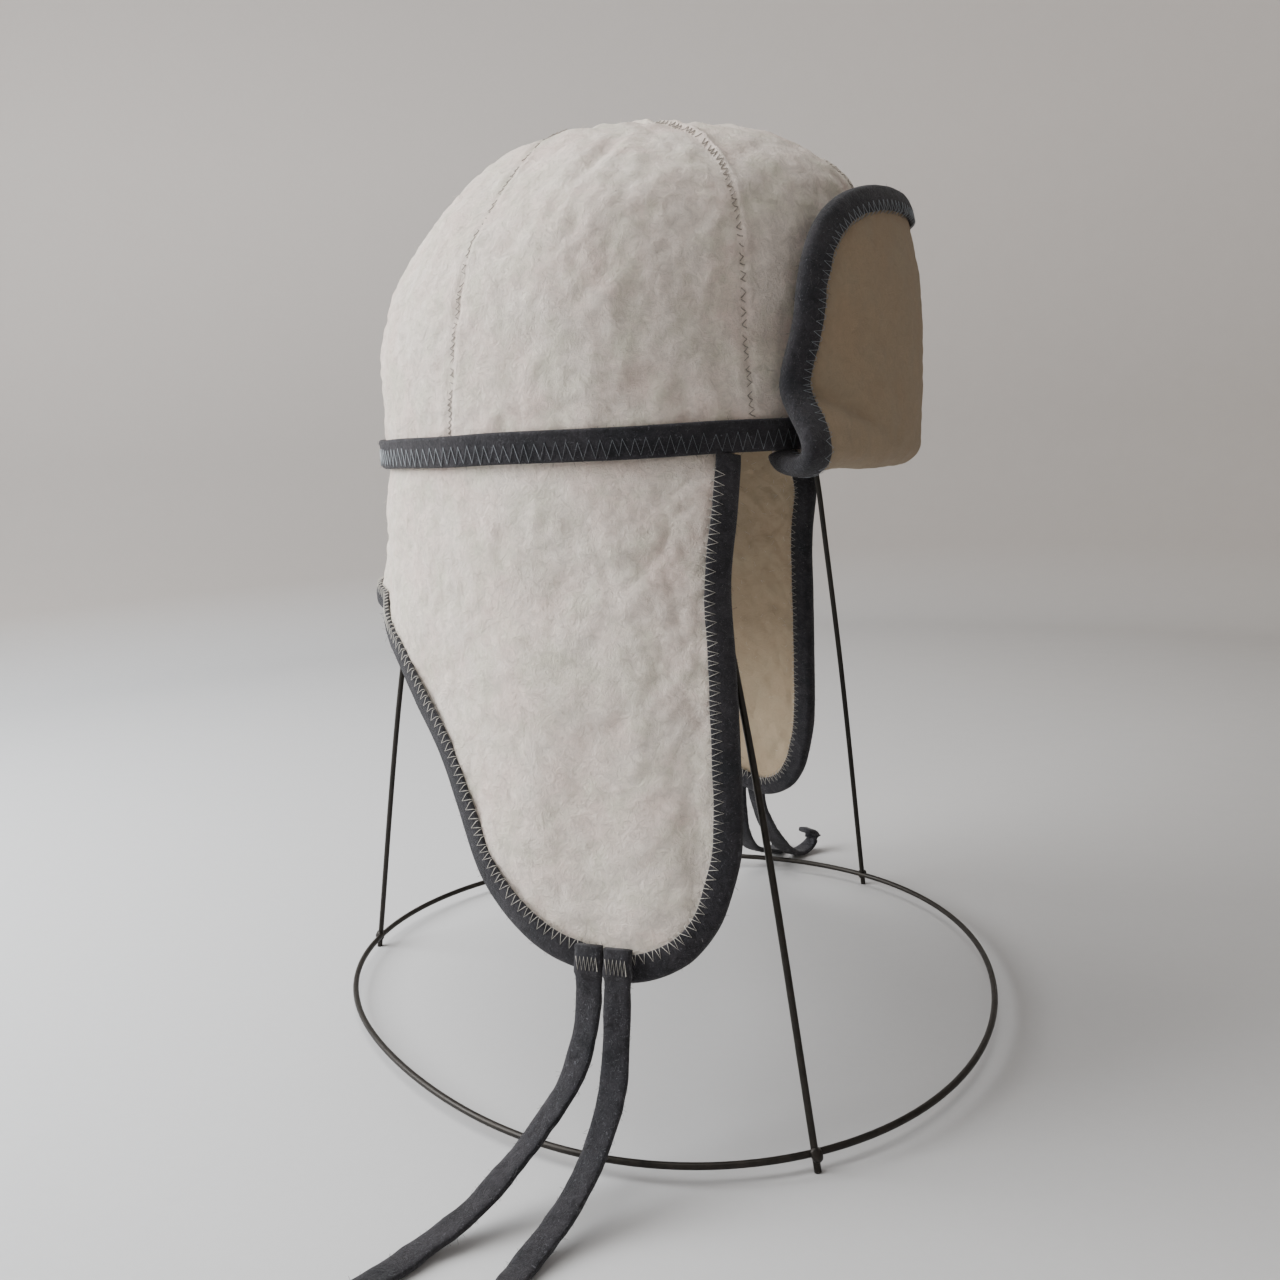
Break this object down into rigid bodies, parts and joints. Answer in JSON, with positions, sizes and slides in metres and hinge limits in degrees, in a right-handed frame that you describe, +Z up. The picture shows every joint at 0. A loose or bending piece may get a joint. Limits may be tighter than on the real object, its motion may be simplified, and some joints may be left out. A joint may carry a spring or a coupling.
{
  "type": "sauna hat on a wire stand",
  "caption": "Trapper-style felt sauna hat with ear flaps, a turned-up visor, bound edges and tie strings, on a three-legged wire stand.",
  "frame": {"origin": "on the table under the middle of the wire stand", "axes": "+Z up, +X towards the hat's front (its visor), +Y towards the wearer's left"},
  "size_m": [0.2756, 0.3618, 0.3413],
  "materials": {
    "cream_felt": "thick pressed wool felt, cream white with fine mottling, matt and slightly pilled",
    "charcoal_felt": "dark grey wool felt, matt, with lighter fibres and zigzag stitches along its edges",
    "dark_wire": "dark bronze-brown lacquered steel wire, satin"
  },
  "bodies": {
    "root": {"crown_front_left": "cream_felt", "crown_side_left": "cream_felt", "crown_back_left": "cream_felt", "crown_back_right": "cream_felt", "crown_side_right": "cream_felt", "crown_front_right": "cream_felt", "ear_flap_skirt": "cream_felt", "visor": "cream_felt", "band": "charcoal_felt", "skirt_binding": "charcoal_felt", "visor_binding": "charcoal_felt", "tie_right_rear": "charcoal_felt", "tie_right_front": "charcoal_felt", "tie_left_rear": "charcoal_felt", "tie_left_front": "charcoal_felt", "wire_stand": "dark_wire"}
  },
  "joints": []
}
